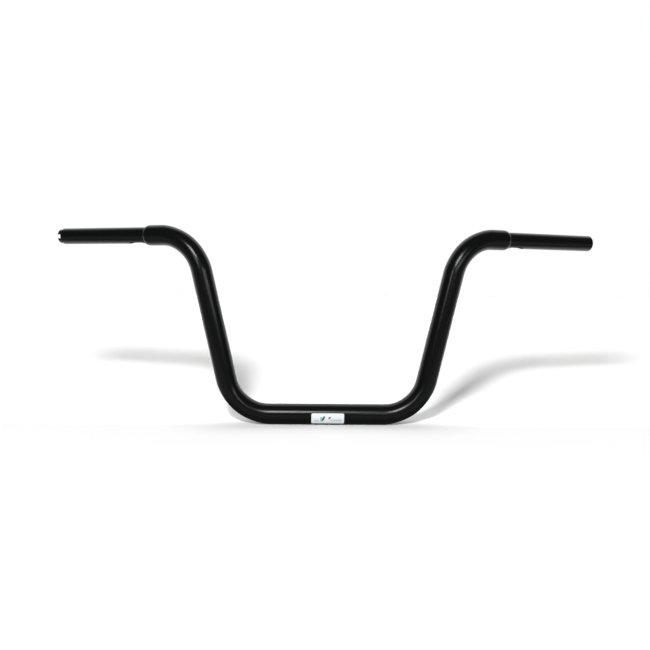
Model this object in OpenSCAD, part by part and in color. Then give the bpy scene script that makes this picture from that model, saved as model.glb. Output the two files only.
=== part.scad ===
// Ape hanger handlebar: a fat bent tube carries two thinner grip tubes, plugged into its rounded ends.
// Millimetres. The origin is the centre of the straight run that the risers clamp. +X goes to the
// rider's left, +Y towards the rider and +Z up, so the bar is seen from the front of the motorcycle.
// The throttle side is at -X.

/* [Main tube] */
// Outer diameter of the bent tube
tube_od = 31.75; // [28:0.05:38]
// Straight run between the lower bends, where the risers clamp
clamp_run = 173; // [120:1:260]
// Centreline radius of the two lower bends
lower_bend_r = 70; // [50:1:100]
// Straight length of each arm, between its two bends
arm_length = 167.5; // [80:0.5:400]
// Outward lean of each arm, from upright
arm_splay = 13; // [3:0.5:30]
// Centreline radius of the two upper bends
upper_bend_r = 70; // [50:1:100]
// How much thinner, on radius, bending draws the tube than its straight runs
bend_draw = 0.15; // [0.1:0.05:0.25]
// Length over which a straight run tapers into a bend
bend_taper = 2; // [1.5:0.5:3]
// Straight neck from the upper bend to the end face of the fat tube
neck_length = 25.5; // [22:0.5:60]
// Backward sweep of the grips, seen from above
pullback = 22.5; // [5:0.5:40]

/* [Shoulder] */
// Length over which the end of the fat tube rounds down to the grip tube
shoulder_length = 7.5; // [3:0.5:10]
// Flat lip left between the rounded shoulder and the grip tube
shoulder_lip = 0.35; // [0.2:0.05:0.8]

/* [Grip tubes] */
// Outer diameter of the grips
grip_od = 25.4; // [22:0.1:26]
// Wall of the grip tubes
grip_wall = 2.55; // [2.2:0.05:3.5]
// Depth that the reamer takes off the wall at each bar end
reamed_cut = 0.25; // [0.2:0.05:0.5]
// Length of the reamed bore from the bar end
reamed_length = 110; // [40:1:120]
// Full-size length of the throttle grip, from the shoulder to its step
throttle_grip_length = 159; // [150:0.5:200]
// Full length of the clutch grip, from the shoulder to its end
clutch_grip_length = 169.5; // [150:0.5:200]
// Chamfer on the outer edge of each grip's end
end_chamfer = 0.9; // [0.3:0.1:1.5]

/* [Plug joint] */
// Length of each grip tube's spigot inside the fat tube
spigot_length = 21; // [12:0.5:22]
// Step from the grip down to the spigot, which seats on the end face of the fat tube
spigot_step = 0.2; // [0.2:0.05:0.8]
// Radial clearance of the spigot in the fat tube's bore
spigot_clearance = 0.125; // [0.05:0.025:0.15]
// Chamfer on the spigot's leading edge
spigot_chamfer = 1; // [0.3:0.1:1.5]

/* [Throttle collar] */
// Step from the grip down to the turned collar at the throttle end
collar_step = 1.3; // [0.5:0.1:1.5]
// Length of the collar
collar_length = 5.9; // [2:0.1:8]
// Number of notches in the collar
notch_count = 4; // [2:1:6]
// Width of each notch
notch_width = 6; // [2:0.1:7]
// Depth of each notch from the open end
notch_depth = 5.2; // [2:0.1:7]
// Turn of the first notch, from the front of the bar downwards
notch_turn = 4; // [0:1:45]

/* [Wiring slots] */
// Width of the wiring slot under each grip
slot_width = 13; // [6:0.5:16]
// Length of the wiring slot under each grip
slot_length = 28; // [18:0.5:36]
// Gap between the shoulder and the near end of the slot
slot_gap = 4.5; // [2:0.5:8]
// Width of the wiring exit in the clamped run
exit_width = 11; // [6:0.5:14]
// Length of the wiring exit in the clamped run
exit_length = 30; // [16:1:50]
// Turn of the wiring exit, from straight down towards the rider
exit_turn = 62; // [25:1:90]

/* [Label] */
// Length of the label along the tube
label_length = 50; // [20:1:80]
// Width of the label, measured round the tube
label_width = 18.5; // [8:0.5:30]
// Corner radius of the label
label_corner = 2; // [0.5:0.5:5]
// Thickness of the label
label_thickness = 0.08; // [0.05:0.01:0.09]
// Turn of the label's centre line, from the front downwards
label_turn = 19; // [-60:1:90]
// How far the label sits off the middle of the bar, to the rider's left
label_offset = 1.4; // [-40:0.1:40]

/* [Hidden] */
$fn = 96;

tube_r = tube_od / 2;
grip_r = grip_od / 2;
grip_bore_r = grip_r - grip_wall;
reamed_bore_r = grip_bore_r + reamed_cut;
collar_r = grip_r - collar_step;
lip_r = grip_r + shoulder_lip;
spigot_r = grip_r - spigot_step;
tube_bore_r = spigot_r + spigot_clearance;
clamp_half = clamp_run / 2;
tool_reach = 2 * tube_od;
overlap = 1;

// Each half of the centreline runs in three straight directions: along the clamp run, up the arm
// and out along the grip. A bend joins each pair.
arm_dir = [sin(arm_splay), 0, cos(arm_splay)];
grip_dir = [cos(pullback), sin(pullback), 0];
lower_angle = 90 - arm_splay;
upper_angle = acos(arm_dir * grip_dir);
arm_start = [
    clamp_half + lower_bend_r * sin(lower_angle),
    0,
    lower_bend_r * (1 - cos(lower_angle))
];
arm_end = arm_start + arm_length * arm_dir;
neck_start = arm_end + upper_bend_r * tan(upper_angle / 2) * (arm_dir + grip_dir);
shoulder = neck_start + neck_length * grip_dir;

// Turn about the arm that brings the upper bend's plane onto the grip
upper_bend_turn = atan2(sin(pullback), cos(pullback) * cos(arm_splay));

// A round rod along +Z, from below 0 by `before` to above `length` by `after`
module rod(r, length, before = 0, after = 0) {
    translate([0, 0, -before]) cylinder(r = r, h = length + before + after);
}

// A straight run of the bent rod along +Z. Each end tapers past it, into the bend that it meets.
module run(r, length, taper_below = true, taper_above = true) {
    tip_r = r - 2 * bend_draw;
    below = taper_below ? [[0, -bend_taper], [tip_r, -bend_taper]] : [[0, 0]];
    above = taper_above ? [[tip_r, length + bend_taper], [0, length + bend_taper]] : [[0, length]];
    rotate_extrude()
        polygon(concat(below, [[r, 0], [r, length]], above));
}

// A bent rod that leaves the origin along +Z and turns towards +X. Both of its ends are buried in
// the straight runs that it meets.
module bend(r, bend_r, angle) {
    buried = bend_taper / bend_r * 180 / PI / 2;
    translate([bend_r, 0, 0])
        rotate([90, 0, 180])
            rotate([0, 0, -buried])
                rotate_extrude(angle = angle + 2 * buried)
                    translate([bend_r, 0]) circle(r = r - bend_draw);
}

// Places its children so that their +Z runs along the arm from its lower end, +X facing outwards
module at_arm_start() {
    translate(arm_start) rotate([0, arm_splay, 0]) children();
}

// Places its children so that their +Z runs along the grip from the shoulder, with +X facing down
module at_shoulder() {
    translate(shoulder) rotate([0, 0, pullback]) rotate([0, 90, 0]) children();
}

// One side of the bent rod of radius r, from the clamp run's end to `past` beyond the shoulder
module half_rod(r, past) {
    translate([clamp_half, 0, 0])
        rotate([0, 90, 0])
            rotate([0, 0, 180]) bend(r, lower_bend_r, lower_angle);
    at_arm_start() run(r, arm_length);
    at_arm_start() translate([0, 0, arm_length])
        rotate([0, 0, upper_bend_turn]) bend(r, upper_bend_r, upper_angle);
    at_shoulder() translate([0, 0, -neck_length]) run(r, neck_length + past, true, false);
}

// The whole bent rod of radius r, reaching past each shoulder by `past`
module bent_rod(r, past = 0) {
    translate([-clamp_half, 0, 0]) rotate([0, 90, 0]) run(r, clamp_run);
    half_rod(r, past);
    mirror([1, 0, 0]) half_rod(r, past);
}

// The material that the rounded shoulder takes off the end of the fat tube
module shoulder_cut() {
    drop = tube_r - lip_r;
    steps = 24;
    rotate_extrude()
        polygon(concat(
            [[tube_r + overlap, overlap], [lip_r, overlap]],
            [for (i = [0 : steps]) let (t = 90 * i / steps)
                [lip_r + drop * sin(t), -shoulder_length * (1 - cos(t))]],
            [[tube_r + overlap, -shoulder_length]]
        ));
}

// An oblong cutter along +X, centred on the origin and reaching up +Z
module oblong(length, width) {
    half_straight = (length - width) / 2;
    translate([-half_straight, 0, 0]) cylinder(d = width, h = tool_reach);
    translate([half_straight, 0, 0]) cylinder(d = width, h = tool_reach);
    translate([-half_straight, -width / 2, 0]) cube([2 * half_straight, width, tool_reach]);
}

module main_tube() {
    color("#17181a")
    difference() {
        bent_rod(tube_r);
        bent_rod(tube_bore_r, overlap);
        at_shoulder() shoulder_cut();
        mirror([1, 0, 0]) at_shoulder() shoulder_cut();
        rotate([180 + exit_turn, 0, 0]) oblong(exit_length, exit_width);
    }
}

// A straight grip tube along +Z: its spigot lies below 0 and its full-size grip runs up to `length`
module grip_blank(length) {
    rotate_extrude()
        polygon([
            [0, -spigot_length],
            [spigot_r - spigot_chamfer, -spigot_length],
            [spigot_r, -spigot_length + spigot_chamfer],
            [spigot_r, 0],
            [grip_r, 0],
            [grip_r, length - end_chamfer],
            [grip_r - end_chamfer, length],
            [0, length]
        ]);
}

// The bore of a grip tube whose open end is at `tip`
module grip_bore_cut(tip) {
    rod(grip_bore_r, tip, spigot_length + overlap);
    translate([0, 0, tip - reamed_length]) rod(reamed_bore_r, reamed_length, 0, overlap);
}

// The oblong wiring slot through the grip tube's underside
module wiring_slot() {
    translate([0, 0, slot_gap + slot_length / 2])
        rotate([0, 90, 0]) oblong(slot_length, slot_width);
}

module throttle_grip() {
    tip = throttle_grip_length + collar_length;
    difference() {
        union() {
            grip_blank(throttle_grip_length);
            rod(collar_r, tip);
        }
        grip_bore_cut(tip);
        wiring_slot();
        for (i = [0 : notch_count - 1])
            rotate([0, 0, notch_turn - 90 + 360 * i / notch_count])
                translate([0, -notch_width / 2, tip - notch_depth])
                    cube([grip_r, notch_width, notch_depth + overlap]);
    }
}

module clutch_grip() {
    difference() {
        grip_blank(clutch_grip_length);
        grip_bore_cut(clutch_grip_length);
        wiring_slot();
    }
}

module throttle_grip_tube() {
    color("#17181a") mirror([1, 0, 0]) at_shoulder() throttle_grip();
}

module clutch_grip_tube() {
    color("#17181a") at_shoulder() clutch_grip();
}

// The label wraps the front of the clamped run
module label() {
    color("#eff9ff") translate([label_offset, 0, 0]) intersection() {
        rotate([90 + label_turn, 0, 0]) label_outline();
        rotate([0, 90, 0]) difference() {
            rod(tube_r + label_thickness, label_length, label_length);
            rod(tube_r, label_length + overlap, label_length + overlap);
        }
    }
}

// A prism with the label's rounded outline, reaching up +Z
module label_outline() {
    chord = 2 * tube_r * sin(label_width / tube_r * 90 / PI);
    x = label_length / 2 - label_corner;
    y = chord / 2 - label_corner;
    linear_extrude(height = tool_reach) union() {
        square([2 * x, chord], center = true);
        square([label_length, 2 * y], center = true);
        for (sx = [-1, 1], sy = [-1, 1])
            translate([sx * x, sy * y]) circle(r = label_corner);
    }
}

main_tube();
throttle_grip_tube();
clutch_grip_tube();
label();
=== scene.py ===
"""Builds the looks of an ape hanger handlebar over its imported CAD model.

Metres. The origin is the centre of the straight run that the risers clamp. +X goes to the rider's
left, +Y towards the rider and +Z up, so the camera looks at the front of the bar. The throttle side
is at -X.
"""

import math

import bmesh
import bpy
from bpy.props import FloatProperty, FloatVectorProperty, IntProperty, PointerProperty
from mathutils import Matrix, Vector


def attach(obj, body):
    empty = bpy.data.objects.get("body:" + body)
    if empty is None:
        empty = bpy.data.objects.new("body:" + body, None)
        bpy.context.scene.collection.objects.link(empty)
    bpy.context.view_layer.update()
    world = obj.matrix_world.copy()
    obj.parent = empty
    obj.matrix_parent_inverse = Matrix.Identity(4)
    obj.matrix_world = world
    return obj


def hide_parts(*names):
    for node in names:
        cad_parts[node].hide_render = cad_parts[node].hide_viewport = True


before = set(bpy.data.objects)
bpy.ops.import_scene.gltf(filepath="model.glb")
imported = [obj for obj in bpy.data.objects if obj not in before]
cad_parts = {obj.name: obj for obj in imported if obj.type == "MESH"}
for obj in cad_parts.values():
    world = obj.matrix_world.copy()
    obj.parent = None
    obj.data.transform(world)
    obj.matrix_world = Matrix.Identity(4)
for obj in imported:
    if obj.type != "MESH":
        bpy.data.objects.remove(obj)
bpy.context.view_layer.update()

bl_info = {
    "name": "Ape Hanger Handlebar",
    "version": (1, 0, 0),
    "blender": (4, 5, 0),
    "location": "3D View > Sidebar > Handlebar",
    "description": "Builds a coated steel ape hanger handlebar, its grip tubes and its label",
    "category": "Add Mesh",
}

MM = 0.001
PHOTO_WIDTH = 650
BODY = "root"

# How finely the pieces are made.
BEND_STEP = math.radians(2)
STRAIGHT_STEP = 12 * MM
HOLE_STEP = 2.4 * MM
LABEL_STEP = 3 * MM
LABEL_LEVELS = 12
SHOULDER_STEPS = 12
CORNER_STEPS = 6
SHARP_EDGE = math.radians(30)

# The patch of wall that is remade round each hole: its margin along the tube, half of its columns,
# and how far each of the rings that fill it has closed in on the hole.
EXIT_MARGIN = 2.6 * MM
EXIT_COLUMNS = 11
SLOT_MARGIN = 2.2 * MM
SLOT_COLUMNS = 14
RING_REACHES = (0.3, 0.6, 1.0)

# Headings of the small lamps, to the right of the front and above the level. The rest is in metres.
SIDE_HEADING = (math.radians(25), math.radians(12))
LOW_HEADING = (math.radians(-20), math.radians(14))
SMALL_LAMP_DISTANCE = 1.4
KEY_AREA = (1.3, 1.0)
SIDE_AREA = (0.85, 0.16)
LOW_AREA = (0.32, 0.26)
FLOOR_LAMP_PLACE = (-0.195, -1.14, 0.675)
FLOOR_LAMP_RADIUS = 0.085

# Ramps over the floor: the two ends in metres, and the value at each. They run back from the bar,
# but SIDE_GLOSS and SIDE_GLOSS_END run out from its middle to either side.
PAINT = (0.0, 0.05, 0.4, 0.43)
CONTACT_SHADE = (-0.01, 0.06, 0.7, 0.0)
GLOW_START = (-0.025, 0.045, 0.0, 1.0)
NEAR_GLOW = (0.03, 0.36, 0.3, 0.0)
FAR_GLOW = (1.5, 3.0, 0.0, 0.3)
FRONT_GLOSS = (-0.9, -0.15, 0.05, 0.19)
# Painted shade: what gloss sees of the floor turns darker right at the bar's front, where its contact
# shade falls.
FRONT_GLOSS_CONTACT_SHADE = (-0.05, -0.01, 1.0, 0.3)
BACK_GLOSS = (0.0, 0.27, 0.0, 1.0)
SIDE_GLOSS = (0.16, 0.28, 0.0, 0.42)
SIDE_GLOSS_END = (0.38, 0.6, 1.0, 0.15)
SIDE_GLOSS_BACK = (-0.12, 0.04, 0.02, 1.0)

# How far the contact shade reaches, in metres, and the most that it takes off the paint.
CONTACT_REACH = 0.09
DEEPEST_CONTACT = 0.2

# What gloss sees of the surroundings, by how far a ray heads back, and what other rays get.
BACK_LIGHT = (0.05, 0.65, 0.02, 1.0)
SKY_FILL = 0.8
FLOOR_FILL = 0.6


def size(name, description, millimetres):
    """A length property that is given in millimetres and kept in metres."""
    return FloatProperty(
        name=name,
        description=description,
        default=millimetres * MM,
        min=0.0,
        precision=5,
        unit="LENGTH",
    )


def turn(name, description, degrees):
    """An angle property that is given in degrees and kept in radians."""
    return FloatProperty(
        name=name, description=description, default=math.radians(degrees), unit="ROTATION"
    )


def share(name, description, default):
    """A property that runs from nothing to all."""
    return FloatProperty(
        name=name, description=description, default=default, min=0.0, max=1.0, subtype="FACTOR"
    )


def colour(name, description, default):
    """A linear colour property."""
    return FloatVectorProperty(
        name=name, description=description, default=default, min=0.0, max=1.0, size=3, subtype="COLOR"
    )


def power(name, description, watts):
    """The power of a lamp."""
    return FloatProperty(name=name, description=description, default=watts, min=0.0, unit="POWER")


class MainTubeSettings(bpy.types.PropertyGroup):
    """Sizes of the fat bent tube."""

    diameter: size("Diameter", "Outer diameter of the bent tube", 31.75)
    bore: size("Bore", "Inner diameter of the bent tube", 25.25)
    clamp_run: size("Clamp run", "Straight run between the lower bends", 173)
    lower_bend: size("Lower bend", "Centreline radius of the lower bends", 70)
    arm_length: size("Arm length", "Straight length of each arm", 167.5)
    arm_splay: turn("Arm splay", "Outward lean of each arm from upright", 13)
    upper_bend: size("Upper bend", "Centreline radius of the upper bends", 70)
    neck_length: size("Neck length", "Straight neck from the upper bend to the end face", 25.5)
    pullback: turn("Pullback", "Backward sweep of the grips, seen from above", 22.5)
    flattening: share("Flattening", "Share of its width that the tube loses across a bend", 0.05)
    flattening_reach: size("Flattening reach", "Length over which a bend takes up its oval", 26)
    shoulder_length: size("Shoulder length", "Length of the rounded end of the tube", 7.5)
    shoulder_lip: size("Shoulder lip", "Flat lip between the rounded end and the grip tube", 0.35)
    exit_length: size("Wiring exit length", "Length of the oblong exit in the clamp run", 30)
    exit_width: size("Wiring exit width", "Width of the oblong exit in the clamp run", 11)
    exit_turn: turn("Wiring exit turn", "Turn of the exit from straight down to the rider", 62)


class GripTubeSettings(bpy.types.PropertyGroup):
    """Sizes of the two grip tubes and of the plug joints that hold them."""

    diameter: size("Diameter", "Outer diameter of the grip tubes", 25.4)
    bore: size("Bore", "Inner diameter of the grip tubes", 20.3)
    reamed_bore: size("Reamed bore", "Inner diameter of the reamed stretch at the bar end", 20.8)
    reamed_length: size("Reamed length", "Length of the reamed stretch from the bar end", 110)
    throttle_length: size("Throttle grip length", "Full-size length of the throttle grip", 159)
    clutch_length: size("Clutch grip length", "Full length of the clutch grip", 169.5)
    end_chamfer: size("End chamfer", "Chamfer on the outer edge of each grip", 0.9)
    spigot_length: size("Spigot length", "Length of the spigot inside the bent tube", 21)
    spigot_step: size("Spigot step", "Step from the grip down to the spigot", 0.2)
    spigot_chamfer: size("Spigot chamfer", "Chamfer on the leading edge of the spigot", 1)
    collar_step: size("Collar step", "Step from the throttle grip down to its collar", 1.3)
    collar_length: size("Collar length", "Length of the notched collar", 5.9)
    notch_width: size("Notch width", "Width of each notch in the collar", 6)
    notch_depth: size("Notch depth", "Depth of each notch from the open end", 5.2)
    notch_turn: turn("Notch turn", "Turn of the first notch from the front downwards", 4)
    notch_count: IntProperty(
        name="Notches", description="Number of notches in the collar", default=4, min=1, max=6
    )
    slot_length: size("Slot length", "Length of the wiring slot under each grip", 28)
    slot_width: size("Slot width", "Width of the wiring slot under each grip", 13)
    slot_gap: size("Slot gap", "Gap between the shoulder and the slot", 4.5)


class LabelSettings(bpy.types.PropertyGroup):
    """Sizes and colours of the label on the clamp run."""

    length: size("Length", "Length of the label along the tube", 50)
    width: size("Width", "Width of the label round the tube", 18.5)
    corner: size("Corner", "Corner radius of the label", 2)
    thickness: size("Thickness", "Thickness of the label", 0.08)
    turn: turn("Turn", "Turn of the label's centre line from the front downwards", 19)
    offset: size("Offset", "How far the label sits off the middle, to the rider's left", 1.4)
    film_colour: colour("Film", "Colour of the film", (0.92, 0.95, 0.97))
    dark_colour: colour("Dark ink", "Dark fields of the print", (0.035, 0.075, 0.12))
    light_colour: colour("Light ink", "Light field of the print", (0.36, 0.62, 0.6))
    rule_colour: colour("Ruled lines", "Thin lines of the print", (0.36, 0.37, 0.42))


class CoatSettings(bpy.types.PropertyGroup):
    """The sprayed coat, and how finely the pieces are made."""

    coat_colour: colour("Coat", "Colour of the coat", (0.004, 0.0042, 0.0046))
    coat_roughness: share("Roughness", "Roughness of the coat", 0.21)
    bore_colour: colour("Bore", "Colour of the thin coat inside the tubes", (0.012, 0.0115, 0.011))
    bore_roughness: share("Bore roughness", "Roughness of the thin coat inside", 0.5)
    lump_size: size("Lump size", "Size of the soft lumps that the spray leaves", 2.2)
    lump_depth: size("Lump depth", "Height of the soft lumps that the spray leaves", 0.0008)
    edge_round: size("Edge round", "Radius that the coat gives the cut edges", 0.3)
    sides: IntProperty(
        name="Sides", description="Number of faces round each tube", default=96, min=48, max=192
    )


class StageSettings(bpy.types.PropertyGroup):
    """The camera, the lamps and the floor."""

    camera_distance: size("Camera distance", "From the camera to the point it frames", 1100)
    camera_height: size("Aim height", "Height of the point that the camera frames", 150)
    camera_azimuth: turn("Camera azimuth", "Turn of the camera about the upright", -1.731)
    camera_elevation: turn("Camera elevation", "Rise of the camera above the level", 3.173)
    camera_roll: turn("Camera roll", "Roll of the camera about its own axis", 0.715)
    lens_pixels: FloatProperty(
        name="Lens", description="Focal length in pixels of the photograph", default=717.09
    )
    shift_right: FloatProperty(
        name="Shift right", description="Pixels that the picture lies right", default=2.75
    )
    shift_down: FloatProperty(
        name="Shift down", description="Pixels that the picture lies down", default=-7.84
    )
    floor_size: size("Floor size", "Side of the square floor", 16000)
    key_azimuth: turn("Key azimuth", "Turn of the key lamp to the right of the front", -8.0)
    key_elevation: turn("Key elevation", "Rise of the key lamp above the level", 31.0)
    key_distance: size("Key distance", "From the key lamp to the point it faces", 3600)
    key_power: power("Key power", "Power of the key lamp", 38.0)
    side_power: power("Side power", "Power of the long side lamp", 1.2)
    low_power: power("Low power", "Power of the small low lamp on the left", 0.7)
    floor_power: power("Floor power", "Power of the lamp that lights the floor alone", 87.0)


class Station:
    """A place on the centreline: its point, three directions, and how far a bend flattens it."""

    def __init__(self, point, along, down, side, inward=None, flat=0.0):
        self.point = point
        self.along = along
        self.down = down
        self.side = side
        self.inward = inward
        self.flat = flat

    def mirrored(self):
        """The same place on the throttle side."""
        flip = Matrix.Diagonal((-1, 1, 1))
        parts = (self.point, self.along, self.down, self.side)
        point, along, down, side = (flip @ part for part in parts)
        inward = flip @ self.inward if self.inward else None
        return Station(point, -along, down, side, inward, self.flat)

    def at(self, radius, angle, flattening=0.0):
        """A point of the section, at an angle from straight down towards the rider."""
        offset = radius * (math.cos(angle) * self.down + math.sin(angle) * self.side)
        if self.inward:
            offset -= self.inward * offset.dot(self.inward) * flattening * self.flat
        return self.point + offset


class Leg:
    """A straight run of the centreline, or a bend about an axis."""

    def __init__(self, start, length, station, axis=None, radius=0.0, reach=1.0):
        self.start = start
        self.length = length
        self.station = station
        self.axis = axis
        self.radius = radius
        self.reach = reach

    def at(self, distance):
        """The station at a distance from the middle of the bar."""
        travel = distance - self.start
        first = self.station
        if not self.axis:
            return Station(first.point + travel * first.along, first.along, first.down, first.side)
        spin = Matrix.Rotation(travel / self.radius, 3, self.axis)
        inward = self.axis.cross(first.along)
        centre = first.point + self.radius * inward
        return Station(
            centre - spin @ inward * self.radius,
            spin @ first.along,
            spin @ first.down,
            spin @ first.side,
            spin @ inward,
            smooth(min(travel, self.length - travel) / self.reach),
        )


def smooth(value):
    """Runs from 0 to 1 with no kink at either end."""
    value = min(max(value, 0.0), 1.0)
    return value * value * (3 - 2 * value)


def half_centreline(tube):
    """The straight runs and bends from the middle of the clamp run to the clutch shoulder."""
    arm = Vector((math.sin(tube.arm_splay), 0, math.cos(tube.arm_splay)))
    grip = Vector((math.cos(tube.pullback), math.sin(tube.pullback), 0))
    station = Station(Vector((0, 0, 0)), Vector((1, 0, 0)), Vector((0, 0, -1)), Vector((0, 1, 0)))
    legs = []
    start = 0.0
    for run, heading, radius in (
        (tube.clamp_run / 2, arm, tube.lower_bend),
        (tube.arm_length, grip, tube.upper_bend),
    ):
        legs.append(Leg(start, run, station))
        start += run
        station = legs[-1].at(start)
        bend = radius * station.along.angle(heading)
        axis = station.along.cross(heading).normalized()
        legs.append(Leg(start, bend, station, axis, radius, tube.flattening_reach))
        start += bend
        end = legs[-1].at(start)
        station = Station(end.point, end.along, end.down, end.side)
    legs.append(Leg(start, tube.neck_length, station))
    return legs


def even_steps(first, last, step):
    """Distances from first to last, at most `step` apart, with both ends."""
    count = max(1, math.ceil((last - first) / step - 1e-6))
    return [first + (last - first) * i / count for i in range(count + 1)]


class Hole:
    """An oblong hole through a tube wall, and the patch of the wall that is remade round it.

    The hole lies on the first column of its wall.
    """

    def __init__(self, centre, length, width, margin, half_columns):
        self.centre = centre
        self.length = length
        self.width = width
        self.half_columns = half_columns
        reach = length / 2 + margin
        beside = even_steps(0.0, reach, HOLE_STEP)[1:]
        self.marks = [centre - mark for mark in reversed(beside)] + [centre]
        self.marks += [centre + mark for mark in beside]

    def edge_near(self, along, across):
        """The point of the oblong's edge that is nearest to a point outside it."""
        straight = (self.length - self.width) / 2
        middle = min(max(along, -straight), straight)
        reach = math.hypot(along - middle, across)
        half = self.width / 2
        return middle + (along - middle) / reach * half, across / reach * half

    def rim(self):
        """Pairs of mark and column round the patch, in order."""
        half = self.half_columns
        last = len(self.marks) - 1
        ring = [(0, column) for column in range(-half, half)]
        ring += [(mark, half) for mark in range(last)]
        ring += [(last, column) for column in range(half, -half, -1)]
        ring += [(mark, -half) for mark in range(last, 0, -1)]
        return ring


class Notches:
    """Notches with straight walls, cut through a collar between two rows of its wall."""

    def __init__(self, first_row, last_row, centres, width, collar_radius):
        self.first_row = first_row
        self.last_row = last_row
        self.centres = centres
        self.half_width = width / 2
        self.half_angle = math.asin(width / 2 / collar_radius)

    def shifted(self, radius, angle, step):
        """The angle that puts a column beside a notch on the notch's straight wall."""
        wall_column = round(self.half_angle / step) * step
        for centre in self.centres:
            off = wrapped(angle - centre)
            for sign in (-1, 1):
                if abs(off - sign * wall_column) < step / 2:
                    return centre + sign * math.asin(self.half_width / radius)
        return angle

    def holds(self, angle):
        """Whether a notch takes out the wall at this angle."""
        return any(abs(wrapped(angle - centre)) < self.half_angle for centre in self.centres)


def wrapped(angle):
    """The same angle, between half a turn back and half a turn on."""
    return (angle + math.pi) % (2 * math.pi) - math.pi


def row_near(rows, distance, first, last):
    """The row between first and last whose distance is nearest."""
    return min(range(first, last), key=lambda row: abs(rows[row][0] - distance))


def tube_wall(place, rows, outer_count, first_angle, sides, hole, notches=None):
    """A closed tube wall, made from a loop of (distance, radius) rows.

    The outside rows come first, outer_count of them, and the rows of the bore run back inside.
    place(distance, radius, angle) gives a point. The bore gets the second material.
    """
    mesh = bmesh.new()
    step = 2 * math.pi / sides
    angles = [first_angle + step * column for column in range(sides)]
    grid = []
    for index, (distance, radius) in enumerate(rows):
        in_collar = notches and notches.first_row <= index <= notches.last_row
        ring = []
        for angle in angles:
            if in_collar:
                angle = notches.shifted(radius, angle, step)
            ring.append(mesh.verts.new(place(distance, radius, angle)))
        grid.append(ring)
    skipped = hole_faces(rows, outer_count, sides, hole)
    for row in range(len(rows)):
        following = (row + 1) % len(rows)
        in_collar = notches and notches.first_row <= row < notches.last_row
        for column in range(sides):
            beside = (column + 1) % sides
            if (row, column) in skipped:
                continue
            if in_collar and notches.holds(angles[column] + step / 2):
                continue
            face = mesh.faces.new(
                (grid[row][column], grid[row][beside], grid[following][beside], grid[following][column])
            )
            face.material_index = int(outer_count <= row < len(rows) - 1)
    if notches:
        cut_notches(mesh, grid, angles, step, notches)
    cut_hole(mesh, grid, place, rows, outer_count, first_angle, hole)
    loose = [vertex for vertex in mesh.verts if not vertex.link_faces]
    bmesh.ops.delete(mesh, geom=loose, context="VERTS")
    bmesh.ops.recalc_face_normals(mesh, faces=mesh.faces)
    return mesh


def hole_faces(rows, outer_count, sides, hole):
    """The (row, column) pairs of the faces whose place the hole's two patches take."""
    outer = [row_near(rows, mark, 0, outer_count) for mark in hole.marks]
    inner = [row_near(rows, mark, outer_count, len(rows)) for mark in hole.marks]
    taken = list(range(outer[0], outer[-1])) + list(range(inner[-1], inner[0]))
    half = hole.half_columns
    return {(row, column % sides) for row in taken for column in range(-half, half)}


def cut_hole(mesh, grid, place, rows, outer_count, first_angle, hole):
    """Fills both patches with rings that close in on the oblong, and joins them with its walls."""
    sides = len(grid[0])
    targets = []
    edges = []
    for material, first, last in ((0, 0, outer_count), (1, outer_count, len(rows))):
        rim = [(row_near(rows, hole.marks[mark], first, last), column) for mark, column in hole.rim()]
        radius = rows[rim[0][0]][1]
        starts = [
            (rows[row][0] - hole.centre, radius * math.sin(2 * math.pi * column / sides))
            for row, column in rim
        ]
        targets = targets or [hole.edge_near(along, across) for along, across in starts]
        loop = [grid[row][column % sides] for row, column in rim]
        for reach in RING_REACHES:
            nearer = []
            for (along, across), (edge_along, edge_across) in zip(starts, targets):
                along += (edge_along - along) * reach
                across += (edge_across - across) * reach
                angle = first_angle + math.asin(across / radius)
                nearer.append(mesh.verts.new(place(hole.centre + along, radius, angle)))
            bridge(mesh, loop, nearer, material)
            loop = nearer
        edges.append(loop)
    bridge(mesh, edges[0], edges[1], 0)


def bridge(mesh, ring, other, material):
    """Joins two rings that have as many points each."""
    for index in range(len(ring)):
        after = (index + 1) % len(ring)
        face = mesh.faces.new((ring[index], ring[after], other[after], other[index]))
        face.material_index = material


def cut_notches(mesh, grid, angles, step, notches):
    """Gives each notch its floor and its two side walls."""
    root = grid[notches.first_row]
    bore = grid[notches.last_row]
    for column, angle in enumerate(angles):
        beside = (column + 1) % len(angles)
        inside = notches.holds(angle + step / 2)
        if inside:
            mesh.faces.new((root[column], root[beside], bore[beside], bore[column]))
        if inside != notches.holds(angle - step / 2):
            wall = range(notches.first_row, notches.last_row + 1)
            mesh.faces.new([grid[row][column] for row in wall])


def mark_cut_edges(mesh, chosen):
    """Marks for the bevel each sharp outward edge whose middle is chosen."""
    weight = mesh.edges.layers.float.new("bevel_weight_edge")
    for edge in mesh.edges:
        middle = (edge.verts[0].co + edge.verts[1].co) / 2
        if edge.calc_face_angle(0) > SHARP_EDGE and edge.is_convex and chosen(middle):
            edge[weight] = 1.0


def new_object(name, data):
    """A new object in the scene."""
    made = bpy.data.objects.new(name, data)
    bpy.context.scene.collection.objects.link(made)
    return made


def finished_piece(name, mesh, materials, node, edge_round):
    """Turns a mesh into a smooth piece with rounded cut edges that stands for a node of the frame."""
    data = bpy.data.meshes.new(name)
    mesh.to_mesh(data)
    mesh.free()
    data.shade_smooth()
    for material in materials:
        data.materials.append(material)
    piece = new_object(name, data)
    if edge_round:
        bevel = piece.modifiers.new("Rounded cut edges", "BEVEL")
        bevel.limit_method = "WEIGHT"
        bevel.width = edge_round
        bevel.segments = 3
        normals = piece.modifiers.new("Flat faces stay flat", "WEIGHTED_NORMAL")
        normals.weight = 50
    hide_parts(node)
    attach(piece, BODY)
    return piece


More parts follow.
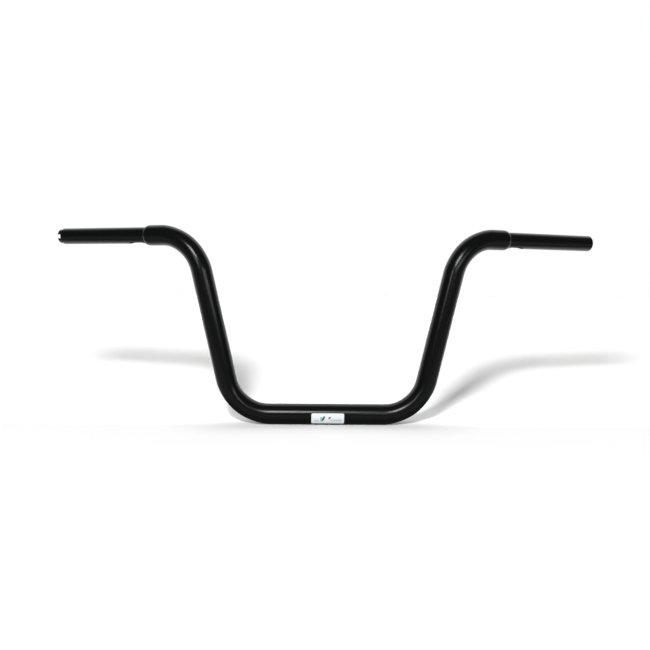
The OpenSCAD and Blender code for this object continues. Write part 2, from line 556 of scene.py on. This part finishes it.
def build_main_tube(tube, grips, coat):
    """The fat bent tube, with oval bends, rounded ends and the wiring exit behind the clamp."""
    legs = half_centreline(tube)
    half_length = legs[-1].start + legs[-1].length
    hole = Hole(0.0, tube.exit_length, tube.exit_width, EXIT_MARGIN, EXIT_COLUMNS)
    marks = [mark for mark in hole.marks if mark > 0]
    for leg in legs:
        step = BEND_STEP * leg.radius if leg.axis else STRAIGHT_STEP
        last = leg.start + leg.length
        if leg is legs[-1]:
            last -= tube.shoulder_length
        marks += even_steps(max(leg.start, marks[-1]), last, step)[1:]
    marks = [-mark for mark in reversed(marks)] + [0.0] + marks
    radius = tube.diameter / 2
    bore = tube.bore / 2
    lip = grips.diameter / 2 + tube.shoulder_lip
    rounded = []
    for count in range(1, SHOULDER_STEPS + 1):
        t = math.pi / 2 * count / SHOULDER_STEPS
        drop = (radius - lip) * (1 - math.cos(t))
        rounded.append((half_length - tube.shoulder_length * (1 - math.sin(t)), radius - drop))
    rows = [(-distance, at) for distance, at in reversed(rounded)]
    rows += [(mark, radius) for mark in marks]
    rows += rounded
    outer_count = len(rows)
    rows += [(half_length, bore)]
    rows += [(mark, bore) for mark in reversed(marks)]
    rows += [(-half_length, bore)]

    def place(distance, at, angle):
        """A point of the bent tube."""
        leg = [leg for leg in legs if leg.start <= abs(distance) + 1e-9][-1]
        station = leg.at(abs(distance))
        if distance < 0:
            station = station.mirrored()
        return station.at(at, angle, tube.flattening)

    mesh = tube_wall(place, rows, outer_count, tube.exit_turn, coat.sides, hole)
    mark_cut_edges(mesh, lambda middle: abs(middle.x) < tube.exit_length)
    materials = coat_materials(coat)
    return finished_piece(
        "coated_main_tube", mesh, materials, "main_tube", coat.edge_round
    )


def build_grip_tube(name, node, tube, grips, coat, throttle):
    """A grip tube: its spigot, its wiring slot and, on the throttle side, its notched collar."""
    full = grips.throttle_length if throttle else grips.clutch_length
    tip = full + grips.collar_length if throttle else full
    radius = grips.diameter / 2
    spigot = radius - grips.spigot_step
    collar = radius - grips.collar_step
    bore = grips.bore / 2
    reamed = grips.reamed_bore / 2
    slot_centre = grips.slot_gap + grips.slot_length / 2
    hole = Hole(slot_centre, grips.slot_length, grips.slot_width, SLOT_MARGIN, SLOT_COLUMNS)
    marks = hole.marks + even_steps(hole.marks[-1], full - grips.end_chamfer, STRAIGHT_STEP)[1:]
    rows = [
        (-grips.spigot_length, spigot - grips.spigot_chamfer),
        (-grips.spigot_length + grips.spigot_chamfer, spigot),
        (0.0, spigot),
        (0.0, radius),
    ]
    rows += [(mark, radius) for mark in marks]
    rows += [(full, radius - grips.end_chamfer)]
    notches = None
    if throttle:
        floor = tip - grips.notch_depth
        first = len(rows) + 1
        rows += [(full, collar), (floor, collar), (tip, collar)]
    outer_count = len(rows)
    rows += [(tip, reamed)]
    if throttle:
        rows += [(floor, reamed)]
        spacing = 2 * math.pi / grips.notch_count
        centres = [grips.notch_turn - math.pi / 2 + spacing * i for i in range(grips.notch_count)]
        notches = Notches(first, len(rows) - 1, centres, grips.notch_width, collar)
    ream_end = tip - grips.reamed_length
    rows += [(mark, reamed) for mark in reversed(marks) if mark > ream_end]
    rows += [(ream_end, reamed), (ream_end, bore)]
    rows += [(mark, bore) for mark in reversed(marks) if mark < ream_end]
    rows += [(-grips.spigot_length, bore)]

    legs = half_centreline(tube)
    end = legs[-1].at(legs[-1].start + legs[-1].length)
    down = Vector((0, 0, -1))
    shoulder = Station(end.point, end.along, down, end.along.cross(down))
    if throttle:
        shoulder = shoulder.mirrored()
    outward = -shoulder.along if throttle else shoulder.along

    def place(distance, at, angle):
        """A point of the straight grip tube."""
        return shoulder.at(at, angle) + outward * distance

    clear_of_shoulder = 1 * MM
    open_end = full - 2 * MM

    def is_cut(middle):
        """Whether an edge belongs to the slot or to the open end."""
        distance = (middle - shoulder.point).dot(outward)
        return clear_of_shoulder < distance < hole.marks[-1] or distance > open_end

    mesh = tube_wall(place, rows, outer_count, 0.0, coat.sides, hole, notches)
    mark_cut_edges(mesh, is_cut)
    return finished_piece(name, mesh, coat_materials(coat), node, coat.edge_round)


def build_label(label, tube):
    """A thin film that wraps the front of the clamp run, with its print laid out on a UV map."""
    radius = tube.diameter / 2
    chord = 2 * radius * math.sin(label.width / tube.diameter)
    outward = Vector((0, -math.cos(label.turn), -math.sin(label.turn)))
    upward = Vector((0, -math.sin(label.turn), math.cos(label.turn)))
    quarter = [math.pi / 2 * count / CORNER_STEPS for count in range(CORNER_STEPS + 1)]
    half_length = label.length / 2
    corner = label.corner
    half_columns = [
        (half_length - corner * (1 - math.sin(t)), chord / 2 - corner * (1 - math.cos(t)))
        for t in quarter
    ]
    straight = even_steps(0.0, half_length - corner, LABEL_STEP)[:-1]
    half_columns = [(along, chord / 2) for along in straight] + half_columns
    columns = [(-along, half) for along, half in reversed(half_columns[1:])] + half_columns
    levels = [count / LABEL_LEVELS for count in range(-LABEL_LEVELS, LABEL_LEVELS + 1)]
    mesh = bmesh.new()
    places = {}
    sheets = []
    for lift in (label.thickness, 0.0):
        sheet = []
        for along, half in columns:
            line = []
            for level in levels:
                across = half * level
                angle = math.asin(across / radius)
                point = (radius + lift) * (math.cos(angle) * outward + math.sin(angle) * upward)
                vertex = mesh.verts.new(Vector((label.offset + along, 0, 0)) + point)
                places[vertex] = (along / label.length + 0.5, across / chord + 0.5)
                line.append(vertex)
            sheet.append(line)
        sheets.append(sheet)
    for sheet in sheets:
        for line, beside in zip(sheet, sheet[1:]):
            for level in range(len(levels) - 1):
                mesh.faces.new((line[level], beside[level], beside[level + 1], line[level + 1]))
    top, back = (outline_of(sheet) for sheet in sheets)
    bridge(mesh, top, back, 0)
    bmesh.ops.recalc_face_normals(mesh, faces=mesh.faces)
    print_map = mesh.loops.layers.uv.new("Print")
    for face in mesh.faces:
        for loop in face.loops:
            loop[print_map].uv = places[loop.vert]
    return finished_piece("printed_label", mesh, [label_material(label)], "label", 0.0)


def outline_of(sheet):
    """The points round the edge of a sheet, in order."""
    ring = [line[0] for line in sheet]
    ring += sheet[-1][1:]
    ring += [line[-1] for line in reversed(sheet[:-1])]
    ring += list(reversed(sheet[0][1:-1]))
    return ring


def new_group(name, inputs, outputs):
    """An empty shader node group with named number sockets, and its two end nodes."""
    group = bpy.data.node_groups.new(name, "ShaderNodeTree")
    for socket, default in inputs:
        item = group.interface.new_socket(name=socket, in_out="INPUT", socket_type="NodeSocketFloat")
        item.default_value = default
    for socket in outputs:
        group.interface.new_socket(name=socket, in_out="OUTPUT", socket_type="NodeSocketFloat")
    start = group.nodes.new("NodeGroupInput")
    end = group.nodes.new("NodeGroupOutput")
    return group, start, end


def math_node(tree, operation, first, second, clamp=False):
    """A math node. Each of its two inputs is a number or the socket that feeds it."""
    node = tree.nodes.new("ShaderNodeMath")
    node.operation = operation
    node.use_clamp = clamp
    for socket, value in zip(node.inputs, (first, second)):
        if isinstance(value, (int, float)):
            socket.default_value = value
        else:
            tree.links.new(value, socket)
    return node.outputs[0]


def sprayed_coat_group():
    """The soft lumps of a sprayed coat, and the patches where it cured a little duller."""
    name = "Sprayed coat"
    if name in bpy.data.node_groups:
        return bpy.data.node_groups[name]
    inputs = (("Lump size", 0.002), ("Roughness", 0.2), ("Spread", 0.05))
    group, start, end = new_group(name, inputs, ("Height", "Roughness"))
    place = group.nodes.new("ShaderNodeTexCoord")
    lumps = group.nodes.new("ShaderNodeTexNoise")
    lumps.inputs["Detail"].default_value = 1.5
    patches = group.nodes.new("ShaderNodeTexNoise")
    patches.inputs["Detail"].default_value = 3.0
    scale = math_node(group, "DIVIDE", 1.0, start.outputs["Lump size"])
    group.links.new(place.outputs["Object"], lumps.inputs["Vector"])
    group.links.new(place.outputs["Object"], patches.inputs["Vector"])
    group.links.new(scale, lumps.inputs["Scale"])
    group.links.new(math_node(group, "MULTIPLY", scale, 0.05), patches.inputs["Scale"])
    uneven = math_node(group, "SUBTRACT", patches.outputs["Fac"], 0.5)
    uneven = math_node(group, "MULTIPLY", uneven, start.outputs["Spread"])
    roughness = math_node(group, "ADD", start.outputs["Roughness"], uneven, clamp=True)
    group.links.new(lumps.outputs["Fac"], end.inputs["Height"])
    group.links.new(roughness, end.inputs["Roughness"])
    return group


def print_field_group():
    """A slanted field of the label's print, as a mask over its UV map."""
    name = "Print field"
    if name in bpy.data.node_groups:
        return bpy.data.node_groups[name]
    inputs = (("Left", 0.1), ("Right", 0.2), ("Bottom", 0.3), ("Top", 0.7), ("Slant", 0.0))
    group, start, end = new_group(name, inputs, ("Mask",))
    place = group.nodes.new("ShaderNodeTexCoord")
    split = group.nodes.new("ShaderNodeSeparateXYZ")
    group.links.new(place.outputs["UV"], split.inputs["Vector"])
    across = split.outputs["Y"]
    lean = math_node(group, "MULTIPLY", across, start.outputs["Slant"])
    along = math_node(group, "SUBTRACT", split.outputs["X"], lean)
    mask = math_node(group, "GREATER_THAN", along, start.outputs["Left"])
    for operation, value, limit in (
        ("LESS_THAN", along, "Right"),
        ("GREATER_THAN", across, "Bottom"),
        ("LESS_THAN", across, "Top"),
    ):
        inside = math_node(group, operation, value, start.outputs[limit])
        mask = math_node(group, "MULTIPLY", mask, inside)
    group.links.new(mask, end.inputs["Mask"])
    return group


def new_material(name):
    """A material with a Principled BSDF, and that node."""
    material = bpy.data.materials.new(name)
    material.use_nodes = True
    return material, material.node_tree.nodes["Principled BSDF"]


def placed_group(tree, group, values):
    """A node group in a material, with its own values."""
    node = tree.nodes.new("ShaderNodeGroup")
    node.node_tree = group
    for socket, value in values.items():
        node.inputs[socket].default_value = value
    return node


def spray_on(tree, surface, values, depth):
    """Gives a surface the roughness of a sprayed coat, and its lumps at a depth in metres."""
    spray = placed_group(tree, sprayed_coat_group(), values)
    bump = tree.nodes.new("ShaderNodeBump")
    bump.inputs["Strength"].default_value = 1.0
    bump.inputs["Distance"].default_value = depth
    tree.links.new(spray.outputs["Roughness"], surface.inputs["Roughness"])
    tree.links.new(spray.outputs["Height"], bump.inputs["Height"])
    tree.links.new(bump.outputs["Normal"], surface.inputs["Normal"])


def coat_material(name, tint, specular, values, depth):
    """A sprayed coat in one colour, made once."""
    if name in bpy.data.materials:
        return bpy.data.materials[name]
    material, surface = new_material(name)
    surface.inputs["Base Color"].default_value = (*tint, 1.0)
    surface.inputs["Specular IOR Level"].default_value = specular
    spray_on(material.node_tree, surface, values, depth)
    return material


def coat_materials(coat):
    """The glossy black coat outside, and the thin dull coat that reaches inside the tubes."""
    glossy = {"Lump size": coat.lump_size, "Roughness": coat.coat_roughness, "Spread": 0.08}
    dull = {"Lump size": coat.lump_size * 0.6, "Roughness": coat.bore_roughness, "Spread": 0.3}
    return [
        coat_material("Black coat", coat.coat_colour, 0.5, glossy, coat.lump_depth),
        coat_material("Thin coat in the bore", coat.bore_colour, 0.35, dull, coat.lump_depth * 2),
    ]


def label_material(label):
    """White film with a generic print: three slanted fields and three thin lines."""
    material, surface = new_material("Printed film")
    tree = material.node_tree
    edges = ("Left", "Right", "Bottom", "Top", "Slant")
    fields = (
        (label.rule_colour, (0.06, 0.2, 0.3, 0.37, 0.1)),
        (label.light_colour, (0.3, 0.37, 0.27, 0.7, -0.05)),
        (label.dark_colour, (0.25, 0.31, 0.34, 0.76, 0.16)),
        (label.dark_colour, (0.4, 0.46, 0.55, 0.7, 0.2)),
        (label.rule_colour, (0.54, 0.94, 0.4, 0.45, 0.0)),
        (label.rule_colour, (0.64, 0.92, 0.31, 0.34, 0.0)),
    )
    ink = None
    for field_colour, places in fields:
        field = placed_group(tree, print_field_group(), dict(zip(edges, places)))
        mix = tree.nodes.new("ShaderNodeMix")
        mix.data_type = "RGBA"
        tree.links.new(field.outputs["Mask"], mix.inputs["Factor"])
        if ink:
            tree.links.new(ink, mix.inputs["A"])
        else:
            mix.inputs["A"].default_value = (*label.film_colour, 1.0)
        mix.inputs["B"].default_value = (*field_colour, 1.0)
        ink = mix.outputs["Result"]
    tree.links.new(ink, surface.inputs["Base Color"])
    values = {"Lump size": 6 * MM, "Roughness": 0.32, "Spread": 0.1}
    spray_on(tree, surface, values, 0.02 * MM)
    return material


def build_stage(stage, tube):
    """The floor, the white surroundings, the lamps and the camera."""
    aim = Vector((0, 0, stage.camera_height))
    key_place = aim + stage.key_distance * heading(stage.key_azimuth, stage.key_elevation)
    side_place = aim + SMALL_LAMP_DISTANCE * heading(*SIDE_HEADING)
    low_place = aim + SMALL_LAMP_DISTANCE * heading(*LOW_HEADING)
    floor = build_floor(stage, tube)
    build_world()
    add_lamp("Key lamp", "ELLIPSE", key_place, aim, KEY_AREA, stage.key_power)
    add_lamp("Side lamp", "RECTANGLE", side_place, aim, SIDE_AREA, stage.side_power)
    add_lamp("Low lamp", "RECTANGLE", low_place, aim, LOW_AREA, stage.low_power)
    add_floor_lamp(floor, stage.floor_power)
    add_camera(stage, aim)
    bpy.context.scene.view_settings.view_transform = "Standard"


def heading(azimuth, elevation):
    """The direction from the bar's front, turned to the right by azimuth and raised by elevation."""
    level = math.cos(elevation)
    return Vector((math.sin(azimuth) * level, -math.cos(azimuth) * level, math.sin(elevation)))


def seen_by(tree, *rays):
    """One where a ray is of one of these kinds, such as Is Camera Ray, and zero elsewhere."""
    path = tree.nodes.new("ShaderNodeLightPath")
    value = path.outputs[rays[0]]
    for ray in rays[1:]:
        value = math_node(tree, "MAXIMUM", value, path.outputs[ray])
    return value


def ramp(tree, value, low, high, bottom, top):
    """Maps a value from low..high to bottom..top, smoothly and within those limits."""
    node = tree.nodes.new("ShaderNodeMapRange")
    node.interpolation_type = "SMOOTHSTEP"
    for socket, number in zip(node.inputs[1:5], (low, high, bottom, top)):
        socket.default_value = number
    tree.links.new(value, node.inputs["Value"])
    return node.outputs["Result"]


def shown_floor(tree, back):
    """The floor that the camera sees: pale paint under its own lamp, and a faint glow.

    A soft contact shade darkens the paint in front of the bar. The glow close behind the bar keeps
    the root of its shadow pale, and the glow far behind keeps the floor's far edge white.
    """
    contact = tree.nodes.new("ShaderNodeAmbientOcclusion")
    contact.inputs["Distance"].default_value = CONTACT_REACH
    shade = math_node(tree, "SUBTRACT", 1.0, contact.outputs["AO"])
    shade = math_node(tree, "MULTIPLY", shade, ramp(tree, back, *CONTACT_SHADE))
    shade = math_node(tree, "MINIMUM", shade, DEEPEST_CONTACT)
    lit_share = math_node(tree, "SUBTRACT", 1.0, shade)
    paint = math_node(tree, "MULTIPLY", ramp(tree, back, *PAINT), lit_share)
    lit = tree.nodes.new("ShaderNodeBsdfDiffuse")
    tree.links.new(paint, lit.inputs["Color"])
    near = math_node(tree, "MULTIPLY", ramp(tree, back, *GLOW_START), ramp(tree, back, *NEAR_GLOW))
    strength = math_node(tree, "ADD", near, ramp(tree, back, *FAR_GLOW))
    glow = tree.nodes.new("ShaderNodeEmission")
    tree.links.new(strength, glow.inputs["Strength"])
    both = tree.nodes.new("ShaderNodeAddShader")
    tree.links.new(lit.outputs["BSDF"], both.inputs[0])
    tree.links.new(glow.outputs["Emission"], both.inputs[1])
    return both.outputs["Shader"]


def reflected_floor(tree, aside, back):
    """What other rays meet: white behind the bar and dark in front for gloss, with painted contact
    shade right at the bar's front, and an even fill.
    """
    front = ramp(tree, back, *FRONT_GLOSS)
    # Painted shade: gloss sees the floor darker right at the bar's front, as a contact shade.
    front = math_node(tree, "MULTIPLY", front, ramp(tree, back, *FRONT_GLOSS_CONTACT_SHADE))
    middle = math_node(tree, "ADD", front, ramp(tree, back, *BACK_GLOSS))
    sides = ramp(tree, aside, *SIDE_GLOSS)
    sides = math_node(tree, "MULTIPLY", sides, ramp(tree, aside, *SIDE_GLOSS_END))
    sides = math_node(tree, "MULTIPLY", sides, ramp(tree, back, *SIDE_GLOSS_BACK))
    reflected = math_node(tree, "MAXIMUM", middle, sides)
    gloss = seen_by(tree, "Is Glossy Ray")
    bounced = math_node(tree, "MULTIPLY", math_node(tree, "SUBTRACT", 1.0, gloss), FLOOR_FILL)
    strength = math_node(tree, "ADD", math_node(tree, "MULTIPLY", gloss, reflected), bounced)
    emission = tree.nodes.new("ShaderNodeEmission")
    tree.links.new(strength, emission.inputs["Strength"])
    return emission.outputs["Emission"]


def build_floor(stage, tube):
    """A plain floor that the clamp run rests on. It shows white, apart from the bar's shadow."""
    half = stage.floor_size / 2
    level = -tube.diameter / 2
    data = bpy.data.meshes.new("floor")
    corners = [(-half, -half, level), (half, -half, level), (half, half, level), (-half, half, level)]
    data.from_pydata(corners, [], [(0, 1, 2, 3)])
    floor = new_object("floor", data)
    material = bpy.data.materials.new("White floor")
    material.use_nodes = True
    tree = material.node_tree
    tree.nodes.remove(tree.nodes["Principled BSDF"])
    place = tree.nodes.new("ShaderNodeNewGeometry")
    split = tree.nodes.new("ShaderNodeSeparateXYZ")
    tree.links.new(place.outputs["Position"], split.inputs["Vector"])
    aside = math_node(tree, "ABSOLUTE", split.outputs["X"], 0.0)
    back = split.outputs["Y"]
    mix = tree.nodes.new("ShaderNodeMixShader")
    tree.links.new(seen_by(tree, "Is Camera Ray", "Is Transmission Ray"), mix.inputs["Fac"])
    tree.links.new(reflected_floor(tree, aside, back), mix.inputs[1])
    tree.links.new(shown_floor(tree, back), mix.inputs[2])
    tree.links.new(mix.outputs["Shader"], tree.nodes["Material Output"].inputs["Surface"])
    data.materials.append(material)
    return floor


def build_world():
    """White surroundings. Gloss sees them white behind the bar, and dark above it and in front."""
    world = bpy.data.worlds.new("White studio")
    world.use_nodes = True
    bpy.context.scene.world = world
    tree = world.node_tree
    place = tree.nodes.new("ShaderNodeTexCoord")
    split = tree.nodes.new("ShaderNodeSeparateXYZ")
    tree.links.new(place.outputs["Generated"], split.inputs["Vector"])
    behind = ramp(tree, split.outputs["Y"], *BACK_LIGHT)
    shown = seen_by(tree, "Is Camera Ray", "Is Transmission Ray")
    gloss = seen_by(tree, "Is Glossy Ray")
    either = math_node(tree, "MAXIMUM", shown, gloss)
    fill = math_node(tree, "MULTIPLY", math_node(tree, "SUBTRACT", 1.0, either), SKY_FILL)
    strength = math_node(tree, "ADD", math_node(tree, "MULTIPLY", gloss, behind), fill)
    strength = math_node(tree, "ADD", strength, shown)
    background = tree.nodes["Background"]
    background.inputs["Color"].default_value = (1.0, 1.0, 1.0, 1.0)
    tree.links.new(strength, background.inputs["Strength"])


def add_lamp(name, shape, place, aim, area, watts):
    """A soft flat lamp that faces a point."""
    light = bpy.data.lights.new(name, "AREA")
    light.shape = shape
    light.size, light.size_y = area
    light.energy = watts
    lamp = new_object(name, light)
    lamp.location = place
    lamp.rotation_euler = (place - aim).to_track_quat("Z", "Y").to_euler()


def add_floor_lamp(floor, watts):
    """A soft round lamp that lights the floor alone, and no weaker where the floor is farther off."""
    light = bpy.data.lights.new("Floor lamp", "POINT")
    light.shadow_soft_size = FLOOR_LAMP_RADIUS
    light.energy = watts
    light.use_nodes = True
    tree = light.node_tree
    falloff = tree.nodes.new("ShaderNodeLightFalloff")
    falloff.inputs["Strength"].default_value = 1.0
    path = tree.nodes.new("ShaderNodeLightPath")
    even = math_node(tree, "MULTIPLY", falloff.outputs["Constant"], path.outputs["Ray Length"])
    tree.links.new(even, tree.nodes["Emission"].inputs["Strength"])
    lit = bpy.data.collections.new("Lit by the floor lamp")
    lit.objects.link(floor)
    lamp = new_object("Floor lamp", light)
    lamp.location = FLOOR_LAMP_PLACE
    lamp.light_linking.receiver_collection = lit
    lamp.visible_glossy = False


def add_camera(stage, aim):
    """The camera at the photograph's place and angle."""
    azimuth = stage.camera_azimuth
    back = heading(azimuth, stage.camera_elevation)
    right = Vector((math.cos(azimuth), math.sin(azimuth), 0))
    up = back.cross(right)
    roll = stage.camera_roll
    rolled_right = math.cos(roll) * right + math.sin(roll) * up
    rolled_up = math.cos(roll) * up - math.sin(roll) * right
    data = bpy.data.cameras.new("Camera")
    data.sensor_fit = "HORIZONTAL"
    data.sensor_width = 36
    data.lens = stage.lens_pixels * data.sensor_width / PHOTO_WIDTH
    data.shift_x = -stage.shift_right / PHOTO_WIDTH
    data.shift_y = stage.shift_down / PHOTO_WIDTH
    data.clip_start = 0.01
    camera = new_object("Camera", data)
    turned = Matrix((rolled_right, rolled_up, back)).transposed().to_4x4()
    camera.matrix_world = Matrix.Translation(aim + back * stage.camera_distance) @ turned
    bpy.context.scene.camera = camera


class HandlebarSettings(bpy.types.PropertyGroup):
    """All the settings of the handlebar."""

    tube: PointerProperty(type=MainTubeSettings, name="Main tube", description="The bent tube")
    grips: PointerProperty(type=GripTubeSettings, name="Grip tubes", description="The grip tubes")
    label: PointerProperty(type=LabelSettings, name="Label", description="The label")
    coat: PointerProperty(type=CoatSettings, name="Coat", description="The sprayed coat")
    stage: PointerProperty(type=StageSettings, name="Stage", description="Camera, lamps and floor")


class HANDLEBAR_OT_main_tube(bpy.types.Operator):
    """Build the fat bent tube"""

    bl_idname = "handlebar.main_tube"
    bl_label = "Main tube"

    def execute(self, context):
        settings = context.scene.handlebar
        build_main_tube(settings.tube, settings.grips, settings.coat)
        return {"FINISHED"}


class HANDLEBAR_OT_grip_tubes(bpy.types.Operator):
    """Build the throttle grip tube and the clutch grip tube"""

    bl_idname = "handlebar.grip_tubes"
    bl_label = "Grip tubes"

    def execute(self, context):
        settings = context.scene.handlebar
        for name, node, throttle in (
            ("coated_throttle_grip", "throttle_grip_tube", True),
            ("coated_clutch_grip", "clutch_grip_tube", False),
        ):
            build_grip_tube(name, node, settings.tube, settings.grips, settings.coat, throttle)
        return {"FINISHED"}


class HANDLEBAR_OT_label(bpy.types.Operator):
    """Build the label on the clamp run"""

    bl_idname = "handlebar.label"
    bl_label = "Label"

    def execute(self, context):
        settings = context.scene.handlebar
        build_label(settings.label, settings.tube)
        return {"FINISHED"}


class HANDLEBAR_OT_stage(bpy.types.Operator):
    """Set the floor, the surroundings, the lamps and the camera"""

    bl_idname = "handlebar.stage"
    bl_label = "Stage"

    def execute(self, context):
        settings = context.scene.handlebar
        build_stage(settings.stage, settings.tube)
        return {"FINISHED"}


class HANDLEBAR_PT_builder(bpy.types.Panel):
    """Lists the handlebar's pieces and their settings"""

    bl_idname = "HANDLEBAR_PT_builder"
    bl_label = "Handlebar"
    bl_space_type = "VIEW_3D"
    bl_region_type = "UI"
    bl_category = "Handlebar"

    def draw(self, context):
        settings = context.scene.handlebar
        for operator, groups in (
            ("handlebar.main_tube", (settings.tube, settings.coat)),
            ("handlebar.grip_tubes", (settings.grips,)),
            ("handlebar.label", (settings.label,)),
            ("handlebar.stage", (settings.stage,)),
        ):
            box = self.layout.box()
            box.operator(operator)
            for group in groups:
                for key in group.bl_rna.properties.keys():
                    if key not in {"rna_type", "name"}:
                        box.prop(group, key)


CLASSES = (
    MainTubeSettings,
    GripTubeSettings,
    LabelSettings,
    CoatSettings,
    StageSettings,
    HandlebarSettings,
    HANDLEBAR_OT_main_tube,
    HANDLEBAR_OT_grip_tubes,
    HANDLEBAR_OT_label,
    HANDLEBAR_OT_stage,
    HANDLEBAR_PT_builder,
)


def register():
    """Registers the settings, the operators and the panel."""
    for cls in CLASSES:
        bpy.utils.register_class(cls)
    bpy.types.Scene.handlebar = PointerProperty(type=HandlebarSettings)


def unregister():
    """Takes out all that register put in."""
    del bpy.types.Scene.handlebar
    for cls in reversed(CLASSES):
        bpy.utils.unregister_class(cls)


def main():
    """Builds every piece and the stage."""
    register()
    bpy.ops.handlebar.main_tube()
    bpy.ops.handlebar.grip_tubes()
    bpy.ops.handlebar.label()
    bpy.ops.handlebar.stage()


if __name__ == "__main__":
    main()
